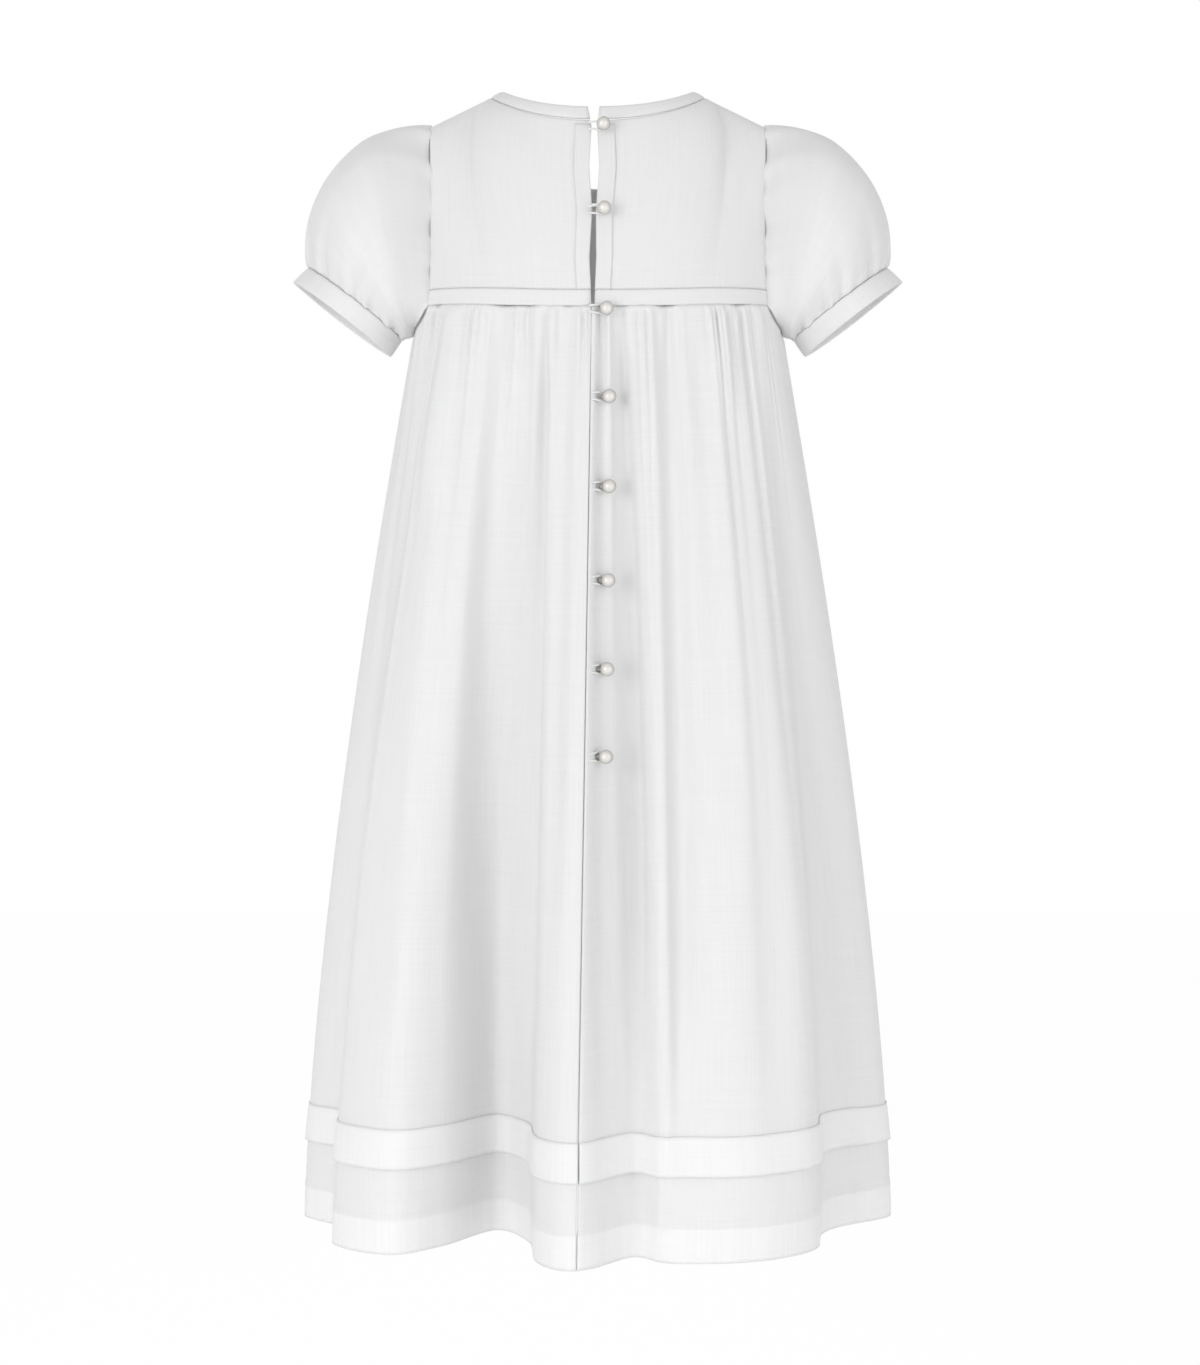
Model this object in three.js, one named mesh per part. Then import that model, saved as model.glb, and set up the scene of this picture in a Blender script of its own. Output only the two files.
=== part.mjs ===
// A christening gown, filled out as it is worn, with no wearer inside: a yoke with a back opening, puff
// sleeves on cuffs, and a long skirt gathered onto a waistband, with a tuck above its hem.
// Millimetres, +Z up, -Y the wearer's front, +X the wearer's left. The origin is level with the neck points
// and midway between them. Every cloth piece is a closed wall that follows a table of rows and columns.
import * as THREE from "three";

// ---- Cloth
const CLOTH = 1.0; // one layer
const SEAM_TRIM = 0.15; // each panel stops this far short of a seam
const BEND_TRIM = 0.9; // where two walls meet at a bend
const PLACKET_TRIM = 1.6; // below the neck binding
const SIDE_TRIM = 0.6; // at the skirt's side seams and opening, whose edges are thicker
const UNDERARM_CLEAR = new THREE.Vector3(1.2, 0, 1.4); // a sleeve's seam from the skirt's edge
const ARMHOLE_TRIM = 1.3; // where the sleeve turns out of the armhole
const SEAT = 0.3; // from one layer to what lies on it
const STRIP = 1.0; // a placket's thickness
const BINDING = 1.6; // the folded strip at the neck, and the cuffs
const TUCK_THICK = 1.6;
const HEM_EXTRA = 0.8; // the turned-up layer, on the inside

// ---- Neck: the open edge, and the seam where the binding meets the yoke
const NECK_EDGE = { half: 53, back: 38, front: 42, top: 0, backDrop: 17, frontDrop: 45 };
const NECK_SEAM = { half: 59.5, back: 41.5, front: 47, top: -3.2, backDrop: 21.3, frontDrop: 49 };
const NECK_CURVE = { back: 1.38, front: 1.2 };
const SHOULDER_TIP = new THREE.Vector3(94, 0, -20);
const NECK_SHARE = 0.55; // the share of a yoke panel's top edge that is neckline

// ---- Body sections
const SEAM_Z = -122; // the waist seam at the armholes
const SEAM_DIP = 7; // and how much lower it is at the centres
const BAND_HEIGHT = 8;
const HEM_Z = -632;
const CORNER_DEG = 67.7; // where the waist seam meets the armhole, from the centre back
const UNDERARM_DROP = 12;
const ROUND = 0.909; // the power that squares the sections off a little
const CHEST = { half: 99.5, back: 62, front: 68 };
const HEM = { half: 167.4, back: 105, front: 112 };
const FLARE = { half: 1.43, back: 1.25, front: 1.3 };

// ---- Skirt: heights of the rows, as shares of the way down
const SKIRT_LENGTH = SEAM_Z - HEM_Z;
const HEM_WIDTH = 20;
const TUCK_TOP = 66; // above the hem's edge
const TUCK_DEEP = 21;
const shareUp = (height) => 1 - height / SKIRT_LENGTH;
const SKIRT_ROWS = [0, 0.05, 0.12, 0.22, 0.34, 0.46, 0.58, 0.69, 0.79, shareUp(TUCK_TOP),
  shareUp(TUCK_TOP - TUCK_DEEP), shareUp(HEM_WIDTH + 1), shareUp(HEM_WIDTH), 1];
const TUCK_ROWS = [shareUp(TUCK_TOP), shareUp(TUCK_TOP - TUCK_DEEP / 2), shareUp(TUCK_TOP - TUCK_DEEP)];

// The largest folds, a row for each place where the cloth turns. Degrees are where it leaves the waist, from the
// centre back towards the wearer's left; x and y are where it meets the hem; mid is how far out of a straight
// run it lies halfway down (negative for a trough); columns is how many columns lead to the next row.
const FOLDS = [
  { name: "opening", deg: 1.4, x: 11, y: 109, mid: 1, columns: 2 },
  { name: "ridge edge centre back", deg: 9, x: 31, y: 92, mid: 1, columns: 2 },
  { name: "wall back left", deg: 15, x: 37, y: 46, mid: -4, columns: 2 },
  { name: "trough back left", deg: 23, x: 56, y: 19, mid: -7, columns: 2 },
  { name: "slope back left", deg: 34, x: 84, y: 56, mid: 1, columns: 2 },
  { name: "ridge back left", deg: 46, x: 110, y: 75, mid: 3, columns: 2 },
  { name: "ridge edge back left", deg: 58, x: 141, y: 53, mid: 1, columns: 2 },
  { name: "side trough back left", deg: CORNER_DEG, x: 145, y: 9, mid: -4, columns: 4 },
  { name: "side seam left", deg: 90, x: 166, y: -21, mid: 0, columns: 4 },
  { name: "side trough front left", deg: 180 - CORNER_DEG, x: 143, y: -58, mid: -3, columns: 2 },
  { name: "ridge front left", deg: 126, x: 122, y: -92, mid: 3, columns: 2 },
  { name: "slope front left", deg: 138, x: 91, y: -98, mid: 1, columns: 2 },
  { name: "trough front left", deg: 150, x: 62, y: -62, mid: -6, columns: 2 },
  { name: "wall front left", deg: 160, x: 41, y: -80, mid: -2, columns: 2 },
  { name: "ridge centre front", deg: 171, x: 24, y: -112, mid: 2, columns: 2 },
  { name: "slope centre front", deg: 183, x: -9, y: -114, mid: 1, columns: 2 },
  { name: "trough centre front", deg: 193, x: -31, y: -88, mid: -6, columns: 2 },
  { name: "slope front right", deg: 205, x: -58, y: -101, mid: 0, columns: 2 },
  { name: "ridge front right", deg: 216, x: -88, y: -102, mid: 3, columns: 2 },
  { name: "ridge edge front right", deg: 227, x: -116, y: -84, mid: 1, columns: 2 },
  { name: "trough front right", deg: 237, x: -118, y: -50, mid: -5, columns: 2 },
  { name: "side ridge front right", deg: 180 + CORNER_DEG, x: -146, y: -50, mid: 0, columns: 4 },
  { name: "side seam right", deg: 270, x: -166, y: -21, mid: 0, columns: 4 },
  { name: "side slope back right", deg: 360 - CORNER_DEG, x: -143, y: 4, mid: -1, columns: 2 },
  { name: "side trough back right", deg: 301, x: -123, y: 27, mid: -5, columns: 2 },
  { name: "ridge edge back right", deg: 311, x: -116, y: 62, mid: 1, columns: 2 },
  { name: "ridge back right", deg: 321, x: -94, y: 84, mid: 3, columns: 2 },
  { name: "slope back right", deg: 330, x: -68, y: 93, mid: 1, columns: 2 },
  { name: "crease back right", deg: 339, x: -44, y: 94, mid: -5, columns: 2 },
  { name: "ridge beside buttons", deg: 348, x: -33, y: 91, mid: 1, columns: 2 },
  { name: "trough beside buttons", deg: 356, x: -18, y: 80, mid: -8, columns: 2 },
];
const FOLD_START = 1.3; // the power by which a fold grows from the waist to the hem

// ---- Back opening above the waist: where the left and right edges lie across the back, at heights down it
const OPENING = [
  { z: -17, left: 5.5, right: -1.0 },
  { z: -29, left: 3.2, right: 0.6 },
  { z: -52, left: 4.4, right: -0.6 },
  { z: -77, left: 2.8, right: 1.2 },
  { z: -103, left: 4.3, right: 1.0 },
  { z: -131, left: 2.9, right: 2.3 },
];

// ---- Buttons and loops
const BUTTONS = [-29, -77, -131, -178, -226, -276, -323, -369].map((z, i) => ({ name: String(i + 1), z }));
const BEAD_RADIUS = 3.8;
const SHANK_RADIUS = 1.2;
const SHANK_HEIGHT = 2.2;
const BEAD_ROUND = 12; // facets round a bead
const BUTTON_INSET = 6.2; // from the left edge of the opening to a button's centre
const LOOP_RADIUS = 0.55; // of the cord
const LOOP_ROOT = 2.2; // how far the ends reach onto the left placket
const LOOP_HALF = 2.2; // half the distance between its ends
const BUTTON_SEAT = 0.5; // from the cloth to a button, and to its loop
const LOOP_LIFT = 1.9; // how far its ends stand above a button's seat

// ---- Sleeve and cuff
const SLEEVE_TOP = [[94, -20], [118, -8], [172, -50], [161.5, -98]]; // a cubic curve, as X and Z
const SLEEVE_UNDER = [[100.5, -135], [109.7, -137.5]];
const SLEEVE_DEPTH = { armhole: 30, puff: 17, cuff: 28 };
const SLEEVE_ROWS = [0, 0.1, 0.22, 0.38, 0.55, 0.72, 0.87, 1];
const CUFF_WIDTH = 12;
const CUFF_AXIS = [0.646, -0.763]; // out and down
const CUFF_FLARE = 1.04; // the free edge against the seam
const CUFF_CORNER = 1.45; // the power that draws the cuff's section out to two corners

const SEAM_STEP = 0.5; // how far past its ends a panel's slope is taken, in rows of FOLDS
const YOKE_ROWS = 8;
const YOKE_COLS = 9;
const BAND_DOWN = 0.915; // the share of the way down the yoke where the waistband starts
const PLACKET_SHARE = 0.056; // the share across the yoke that the placket takes
const PARTED_REACH = 50; // how far from the opening its gap still moves the cloth
const BINDING_COLS = 14;

// ---- Small maths
const rad = THREE.MathUtils.degToRad;
const lerp = THREE.MathUtils.lerp;
const power = (x, p) => Math.sign(x) * Math.abs(x) ** p;
const steps = (count, from = 0, to = 1) => Array.from({ length: count + 1 }, (_, i) => lerp(from, to, i / count));
const smooth = (from, to, x) => THREE.MathUtils.smoothstep(x, from, to);

function openingAt(z, side) {
  const below = OPENING.findIndex((row) => row.z <= z);
  if (below <= 0) return OPENING.at(below)[side];
  const [a, b] = [OPENING[below - 1], OPENING[below]];
  return lerp(a[side], b[side], (a.z - z) / (a.z - b.z));
}

// ---- The body's surface
const seamZ = (deg) => SEAM_Z - SEAM_DIP * Math.cos(rad(deg)) ** 2;

function skirtTop(deg) {
  const across = Math.abs(Math.cos(rad(deg))) / Math.cos(rad(CORNER_DEG));
  return across >= 1 ? seamZ(deg) : seamZ(CORNER_DEG) - UNDERARM_DROP * Math.sqrt(1 - across ** 2);
}

// A section's half sizes at a share of the way from the waist seam to the hem.
function sectionAt(share) {
  const grown = (key) => lerp(CHEST[key], HEM[key], 1 - (1 - share) ** FLARE[key]);
  return { half: grown("half"), back: grown("back"), front: grown("front") };
}

function onSection(deg, share, out = 0) {
  const size = sectionAt(share);
  const [s, c] = [Math.sin(rad(deg)), Math.cos(rad(deg))];
  const depth = c > 0 ? size.back : size.front;
  const facing = new THREE.Vector2(power(s, 2 - ROUND) / size.half, power(c, 2 - ROUND) / depth).normalize();
  return [size.half * power(s, ROUND) + out * facing.x, depth * power(c, ROUND) + out * facing.y];
}

// What the folds give at a turn round the skirt: turn 1 is the second row of the table, and so on round it.
const FOLD_VALUES = FOLDS.map(({ deg, x, y, mid }, i) => {
  const [baseX, baseY] = onSection(deg, 1);
  return { shift: deg - (360 * i) / FOLDS.length, x: x - baseX, y: y - baseY, mid };
});

function foldsAt(turn, key) {
  const i = Math.floor(turn);
  const t = turn - i;
  const [a, b, c, d] = [i - 1, i, i + 1, i + 2].map((k) => FOLD_VALUES.at(k % FOLDS.length)[key]);
  return b + 0.5 * t * (c - a + t * (2 * a - 5 * b + 4 * c - d + t * (3 * (b - c) + d - a)));
}

function skirtPoint(turn, row) {
  const deg = (360 * turn) / FOLDS.length + foldsAt(turn, "shift");
  const z = lerp(skirtTop(deg), HEM_Z, row);
  const share = THREE.MathUtils.clamp((SEAM_Z - z) / SKIRT_LENGTH, 0, 1);
  const [x, y] = onSection(deg, share, foldsAt(turn, "mid") * Math.sin(Math.PI * share));
  const grown = share ** FOLD_START;
  return new THREE.Vector3(x + foldsAt(turn, "x") * grown, y + foldsAt(turn, "y") * grown, z);
}

// A neckline, from the centre (0) to the neck point (1), on the back or the front.
function neckline(ring, along, back) {
  const [s, c] = [Math.sin(rad(90 * along)), Math.cos(rad(90 * along))];
  const [depth, drop, curve] = back
    ? [ring.back, ring.backDrop, NECK_CURVE.back]
    : [-ring.front, ring.frontDrop, NECK_CURVE.front];
  return new THREE.Vector3(ring.half * s, depth * c, ring.top - drop * Math.max(c, 0) ** curve);
}

// The yoke's surface on the wearer's left: across 0 is the centre, 1 the armhole; down 0 is the top edge, 1 the
// waist seam. Each column is a curve that leaves the top edge backwards and reaches the waist upright.
function yokePoint(across, down, back) {
  const sign = back ? 1 : -1;
  const onNeck = across <= NECK_SHARE;
  const along = onNeck ? across / NECK_SHARE : (across - NECK_SHARE) / (1 - NECK_SHARE);
  const neckPoint = neckline(NECK_SEAM, 1, back);
  const top = onNeck ? neckline(NECK_SEAM, along, back) : neckPoint.lerp(SHOULDER_TIP, along);
  const deg = back ? across * CORNER_DEG : 180 - across * CORNER_DEG;
  const bottom = new THREE.Vector3(...onSection(deg, 0), seamZ(deg));
  const centreLean = new THREE.Vector3(0, 35 * sign, back ? -95 : -70);
  const cornerLean = new THREE.Vector3(60, 60 * sign, -29);
  const tipLean = new THREE.Vector3(-4, 75 * sign, -8);
  const turn = Math.sin(rad(90 * along));
  const leave = onNeck ? centreLean.lerp(cornerLean, turn ** 2) : cornerLean.lerp(tipLean, along);
  const reach = new THREE.Vector3(6 * across, (3 - 7 * across) * sign, lerp(-100, -85, across));
  const t = down;
  return top.multiplyScalar(1 + t * t * (2 * t - 3))
    .addScaledVector(leave, t * (1 - t) ** 2)
    .addScaledVector(bottom, t * t * (3 - 2 * t))
    .addScaledVector(reach, t * t * (t - 1));
}

// ---- Walls
// Columns run round the body from the centre back towards the wearer's left, rows run down.
function inset(grid, trim) {
  const move = (p, towards, by) => (by ? p.addScaledVector(towards.clone().sub(p).normalize(), by) : p);
  const [last, end] = [grid.length - 1, grid[0].length - 1];
  for (const j of grid[0].keys()) {
    move(grid[0][j], grid[1][j], trim.top);
    move(grid[last][j], grid[last - 1][j], trim.bottom);
  }
  for (const row of grid) {
    move(row[0], row[1], trim.first);
    move(row[end], row[end - 1], trim.last);
  }
  return grid;
}

function normalsOf(grid, round, centreOf) {
  const [rows, cols] = [grid.length, grid[0].length];
  let facing = 0;
  const normals = grid.map((row, i) => row.map((p, j) => {
    const [above, below] = [grid[Math.max(i - 1, 0)][j], grid[Math.min(i + 1, rows - 1)][j]];
    const before = round ? row[(j - 1 + cols) % cols] : row[Math.max(j - 1, 0)];
    const after = round ? row[(j + 1) % cols] : row[Math.min(j + 1, cols - 1)];
    const n = after.clone().sub(before).cross(below.clone().sub(above)).normalize();
    facing += n.dot(p.clone().sub(centreOf(p, row)));
    return n;
  }));
  if (facing < 0) normals.flat().forEach((n) => n.negate());
  return normals;
}

const bodyAxis = (p) => new THREE.Vector3(0, 0, p.z);
const rowCentre = (p, row) => row.reduce((sum, q) => sum.add(q), new THREE.Vector3()).divideScalar(row.length);

// A closed wall from low to high out of the surface; either may be a function of the row.
function wall(grid, low, high, { round = false, centreOf = bodyAxis, normals } = {}) {
  const [rows, cols] = [grid.length, grid[0].length];
  normals ??= normalsOf(grid, round, centreOf);
  const at = (value, i) => (typeof value === "function" ? value(i) : value);
  const points = [low, high].flatMap((side) => grid.flatMap((row, i) =>
    row.map((p, j) => p.clone().addScaledVector(normals[i][j], at(side, i)))));
  const index = (layer, i, j) => layer * rows * cols + i * cols + (j % cols);
  const faces = [];
  const quad = (a, b, c, d) => faces.push(a, b, c, a, c, d);
  const spans = round ? cols : cols - 1;
  for (let i = 0; i < rows - 1; i++)
    for (let j = 0; j < spans; j++) {
      quad(index(1, i, j), index(1, i + 1, j), index(1, i + 1, j + 1), index(1, i, j + 1));
      quad(index(0, i, j), index(0, i, j + 1), index(0, i + 1, j + 1), index(0, i + 1, j));
    }
  for (let j = 0; j < spans; j++) {
    quad(index(0, 0, j), index(1, 0, j), index(1, 0, j + 1), index(0, 0, j + 1));
    quad(index(0, rows - 1, j), index(0, rows - 1, j + 1), index(1, rows - 1, j + 1), index(1, rows - 1, j));
  }
  for (let i = 0; i < rows - 1 && !round; i++) {
    quad(index(0, i, 0), index(0, i + 1, 0), index(1, i + 1, 0), index(1, i, 0));
    quad(index(0, i, spans), index(1, i, spans), index(1, i + 1, spans), index(0, i + 1, spans));
  }
  const volume = faces.reduce((sum, _, k) => (k % 3 ? sum
    : sum + points[faces[k]].dot(points[faces[k + 1]].clone().cross(points[faces[k + 2]]))), 0);
  if (volume < 0) faces.reverse();
  const geometry = new THREE.BufferGeometry().setFromPoints(points);
  geometry.setIndex(faces);
  return geometry;
}

// ---- Materials
const finish = (color, roughness) => new THREE.MeshStandardMaterial({ color, roughness, metalness: 0 });
const LAWN = finish(0xeaeaea, 0.85);
const DOUBLED = finish(0xf3f3f3, 0.85);
const PEARL = finish(0xe9e6df, 0.25);

const gown = new THREE.Group();
function add(name, geometry, material) {
  geometry.computeVertexNormals();
  const mesh = new THREE.Mesh(geometry, material);
  mesh.name = name;
  gown.add(mesh);
  return mesh;
}

// ---- Yoke, waistband, plackets and neck binding
const mirrored = (p) => p.clone().setX(-p.x);
const roundTrip = (left, right) => [...left, ...right.reverse().slice(1)];

// The back is parted at the centre: its points move aside, less and less away from the opening.
function parted(p, side) {
  const sign = side === "left" ? 1 : -1;
  p.x = sign * p.x + openingAt(p.z, side) * Math.max(0, 1 - p.x / PARTED_REACH);
  return p;
}

// Column 0 is the opening's edge, column 1 the placket's other edge, and the rest go on to the armhole.
const yokeAcross = (column) => (column ? lerp(PLACKET_SHARE, 1, (column - 1) / YOKE_COLS) : 0);
const backYokePoint = (column, down, side) => parted(yokePoint(yokeAcross(column), down, true), side);

function backYokeGrid(side, rows, columns = YOKE_COLS + 1) {
  const grid = rows.map((down) => steps(columns, 0, columns).map((column) => backYokePoint(column, down, side)));
  return side === "left" ? grid : grid.map((row) => row.reverse());
}

function frontYokeGrid(rows) {
  return rows.map((down) => {
    const left = steps(YOKE_COLS, 1, 0).map((across) => yokePoint(across, down, false));
    return roundTrip(left, left.map(mirrored));
  });
}

const yokeRows = steps(YOKE_ROWS, 0, BAND_DOWN);
const bandRows = [BAND_DOWN, 1];
const layer = [-CLOTH / 2, CLOTH / 2];
const strip = [CLOTH / 2 + SEAT, CLOTH / 2 + SEAT + STRIP];
const sideTrim = { first: SEAM_TRIM, last: SEAM_TRIM };
const skirtTrim = { first: SIDE_TRIM, last: SIDE_TRIM };
const yokeTrim = { ...sideTrim, top: BEND_TRIM, bottom: SEAM_TRIM };
const bandTrim = { ...sideTrim, top: SEAM_TRIM, bottom: SEAM_TRIM };
const placketTrim = { ...sideTrim, top: PLACKET_TRIM, bottom: SEAM_TRIM };

add("yoke_front", wall(inset(frontYokeGrid(yokeRows), yokeTrim), ...layer), LAWN);
add("waistband_front", wall(inset(frontYokeGrid(bandRows), bandTrim), ...layer), DOUBLED);
for (const side of ["left", "right"]) {
  add(`yoke_back_${side}`, wall(inset(backYokeGrid(side, yokeRows), yokeTrim), ...layer), LAWN);
  add(`waistband_back_${side}`, wall(inset(backYokeGrid(side, bandRows), bandTrim), ...layer), DOUBLED);
  add(`placket_${side}`, wall(inset(backYokeGrid(side, yokeRows, 1), placketTrim), ...strip), DOUBLED);
}

function bindingRow(ring) {
  const front = steps(BINDING_COLS, 1, 0).map((along) => neckline(ring, along, false));
  const back = (side) => steps(BINDING_COLS).map((along) => parted(neckline(ring, along, true), side));
  return roundTrip([...back("left"), ...front.slice(1)], [...back("right"), ...front.slice(1).map(mirrored)]);
}
const bindingGrid = inset([bindingRow(NECK_EDGE), bindingRow(NECK_SEAM)], { ...sideTrim, bottom: BEND_TRIM });
add("neck_binding", wall(bindingGrid, -BINDING / 2, BINDING / 2), DOUBLED);

// ---- Skirt and tuck
const SIDE_LEFT = FOLDS.findIndex((fold) => fold.name === "side seam left");
const SIDE_RIGHT = FOLDS.findIndex((fold) => fold.name === "side seam right");

function turnsBetween(first, last) {
  const turns = FOLDS.concat(FOLDS[0]).flatMap(({ columns }, i) =>
    (i >= first && i < last ? steps(columns, i, i + 1).slice(0, -1) : []));
  return [...turns, last];
}

const skirtGrid = (turns, rows) => rows.map((row) => turns.map((turn) => skirtPoint(turn, row)));
const turnedUp = (i) => -CLOTH / 2 - (SKIRT_ROWS[i] >= shareUp(HEM_WIDTH) ? HEM_EXTRA : 0);
const folded = [CLOTH / 2 + SEAT, CLOTH / 2 + SEAT + TUCK_THICK];
const panels = { back_left: [0, SIDE_LEFT], front: [SIDE_LEFT, SIDE_RIGHT], back_right: [SIDE_RIGHT, FOLDS.length] };

// A wall's normals, taken past its ends so that two panels face the same way where they meet.
function seamNormals(turns, rows) {
  const past = [turns[0] - SEAM_STEP, ...turns, turns.at(-1) + SEAM_STEP];
  return normalsOf(skirtGrid(past, rows), false, bodyAxis).map((row) => row.slice(1, -1));
}

for (const [name, ends] of Object.entries(panels)) {
  const turns = turnsBetween(...ends);
  const panel = inset(skirtGrid(turns, SKIRT_ROWS), { ...skirtTrim, top: SEAM_TRIM });
  add(`skirt_${name}`, wall(panel, turnedUp, CLOTH / 2, { normals: seamNormals(turns, SKIRT_ROWS) }), LAWN);
  const flap = inset(skirtGrid(turns, TUCK_ROWS), skirtTrim);
  add(`tuck_${name}`, wall(flap, ...folded, { normals: seamNormals(turns, TUCK_ROWS) }), DOUBLED);
}

// ---- Sleeves and cuffs, made for the wearer's left and mirrored
// The armhole on the body: from the shoulder tip down the back, under the arm and up the front.
function armhole() {
  const edge = (back) => steps(YOKE_ROWS).map((down) => yokePoint(1, down, back));
  const under = turnsBetween(SIDE_LEFT - 1, SIDE_LEFT + 1).map((turn) => skirtPoint(turn, 0));
  under.forEach((p) => p.add(UNDERARM_CLEAR));
  return [...edge(true), ...under.slice(1, -1), ...edge(false).reverse().slice(0, -1)];
}

const inXZ = ([x, z]) => new THREE.Vector3(x, 0, z);
const sleeveTop = new THREE.CubicBezierCurve3(...SLEEVE_TOP.map(inXZ));
const sleeveUnder = new THREE.LineCurve3(...SLEEVE_UNDER.map(inXZ));
const cuffAxis = inXZ(CUFF_AXIS).normalize();

// A section from its top and bottom points: a ring of as many points as the armhole has.
function sectionRing(top, bottom, depth, corner, count) {
  const [middle, half] = [top.clone().lerp(bottom, 0.5), top.clone().sub(bottom).multiplyScalar(0.5)];
  return steps(count - 1, 0, count - 1).map((i) => {
    const angle = (2 * Math.PI * i) / count;
    return middle.clone().addScaledVector(half, Math.cos(angle)).setY(depth * power(Math.sin(angle), corner));
  });
}

function sleeveGrid() {
  const ring = armhole();
  return SLEEVE_ROWS.map((share) => {
    const depth = lerp(SLEEVE_DEPTH.armhole, SLEEVE_DEPTH.cuff, share) + SLEEVE_DEPTH.puff * Math.sin(Math.PI * share);
    const corner = lerp(1, CUFF_CORNER, smooth(0.6, 1, share));
    const section = sectionRing(sleeveTop.getPoint(share), sleeveUnder.getPoint(share), depth, corner, ring.length);
    const settled = smooth(0, 0.4, share);
    return section.map((p, i) => ring[i].clone().lerp(p, settled));
  });
}

function cuffGrid(seam) {
  const middle = seam.reduce((sum, p) => sum.add(p), new THREE.Vector3()).divideScalar(seam.length);
  const end = seam.map((p) => p.clone().sub(middle).multiplyScalar(CUFF_FLARE).add(middle)
    .addScaledVector(cuffAxis, CUFF_WIDTH));
  return [seam.map((p) => p.clone()), end];
}

const ringWall = { round: true, centreOf: rowCentre };
for (const side of ["left", "right"]) {
  const sleeve = sleeveGrid();
  const cuff = inset(cuffGrid(sleeve.at(-1)), { top: BEND_TRIM });
  inset(sleeve, { top: ARMHOLE_TRIM, bottom: BEND_TRIM });
  const sided = (grid) => (side === "left" ? grid : grid.map((row) => row.map(mirrored)));
  add(`sleeve_${side}`, wall(sided(sleeve), ...layer, ringWall), LAWN);
  add(`cuff_${side}`, wall(sided(cuff), -BINDING / 2, BINDING / 2, ringWall), DOUBLED);
}

// ---- Buttons and their loops
const DOWN_STEPS = steps(400);
const BACK_TURNS = steps(300, FOLDS.length + 2, FOLDS.length - 2);

// The outermost face of the back, this far across near its opening, at a height.
function backFace(x, z) {
  if (z > seamZ(0)) {
    const down = DOWN_STEPS.find((step) => yokePoint(0, step, true).z <= z);
    const out = z > seamZ(0) + BAND_HEIGHT ? strip[1] : CLOTH / 2;
    return new THREE.Vector3(x, yokePoint(0, down, true).y + out, z);
  }
  const row = (seamZ(0) - z) / (seamZ(0) - HEM_Z);
  const turn = BACK_TURNS.find((step) => skirtPoint(step, row).x <= x);
  return skirtPoint(turn, row).setX(x).add(new THREE.Vector3(0, CLOTH / 2, 0));
}

function openingEdge(z) {
  return z > seamZ(0) ? openingAt(z, "left") : skirtPoint(0, (seamZ(0) - z) / (seamZ(0) - HEM_Z)).x;
}

function beadProfile() {
  const bottom = Math.asin(SHANK_RADIUS / BEAD_RADIUS);
  const arc = steps(6, bottom, Math.PI).map((angle) => new THREE.Vector2(
    BEAD_RADIUS * Math.sin(angle), SHANK_HEIGHT + BEAD_RADIUS * (Math.cos(bottom) - Math.cos(angle))));
  arc.at(-1).x = 0;
  return [new THREE.Vector2(0, 0), new THREE.Vector2(SHANK_RADIUS, 0), ...arc];
}

// The cord leaves the left edge above the button, goes round its shank and comes back below.
function loopPath() {
  const [reach, lift] = [SHANK_RADIUS + LOOP_RADIUS + SEAT, LOOP_RADIUS + SEAT];
  const turn = steps(6, Math.PI / 2, 1.5 * Math.PI).map((angle) =>
    new THREE.Vector3(reach * Math.cos(angle), lift, reach * Math.sin(angle)));
  const root = (z) => new THREE.Vector3(BUTTON_INSET + LOOP_ROOT, LOOP_LIFT, z);
  return new THREE.CatmullRomCurve3([root(LOOP_HALF), ...turn, root(-LOOP_HALF)]);
}

const cordSection = new THREE.Shape(steps(5, 0, 5).map((i) =>
  new THREE.Vector2(Math.cos((Math.PI * i) / 3), Math.sin((Math.PI * i) / 3)).multiplyScalar(LOOP_RADIUS)));

for (const { name, z } of BUTTONS) {
  const edge = openingEdge(z);
  const [seat, rim] = [backFace(edge - BUTTON_INSET, z), backFace(edge, z)];
  const place = new THREE.Group();
  place.position.copy(seat).add(new THREE.Vector3(0, BUTTON_SEAT, 0));
  place.rotation.z = Math.atan2(rim.y - seat.y, rim.x - seat.x);
  const cord = new THREE.ExtrudeGeometry(cordSection, { steps: 22, extrudePath: loopPath() });
  place.add(add(`button_${name}`, new THREE.LatheGeometry(beadProfile(), BEAD_ROUND), PEARL));
  place.add(add(`loop_${name}`, cord, DOUBLED));
  gown.add(place);
}

export default gown;
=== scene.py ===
"""A christening gown, filled out as it is worn, seen from the back. Shapes are worked out in millimetres with
the part's own sizes and built in metres: +Z up, -Y the wearer's front, +X the wearer's left."""
import math
import numpy as np
import bpy
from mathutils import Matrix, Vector


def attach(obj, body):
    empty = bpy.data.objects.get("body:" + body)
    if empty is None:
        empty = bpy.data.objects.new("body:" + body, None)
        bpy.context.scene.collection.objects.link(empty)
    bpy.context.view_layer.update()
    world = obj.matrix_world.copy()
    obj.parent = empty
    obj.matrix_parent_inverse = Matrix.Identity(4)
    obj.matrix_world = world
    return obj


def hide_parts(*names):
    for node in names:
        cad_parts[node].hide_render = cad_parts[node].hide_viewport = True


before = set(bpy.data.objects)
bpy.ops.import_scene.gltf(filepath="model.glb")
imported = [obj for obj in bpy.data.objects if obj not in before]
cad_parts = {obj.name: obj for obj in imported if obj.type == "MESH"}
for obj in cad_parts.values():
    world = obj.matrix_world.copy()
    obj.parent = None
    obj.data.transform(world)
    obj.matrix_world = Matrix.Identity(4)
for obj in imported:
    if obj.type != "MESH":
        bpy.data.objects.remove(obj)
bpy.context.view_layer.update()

MM = 0.001
TAU = 2 * math.pi

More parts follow.
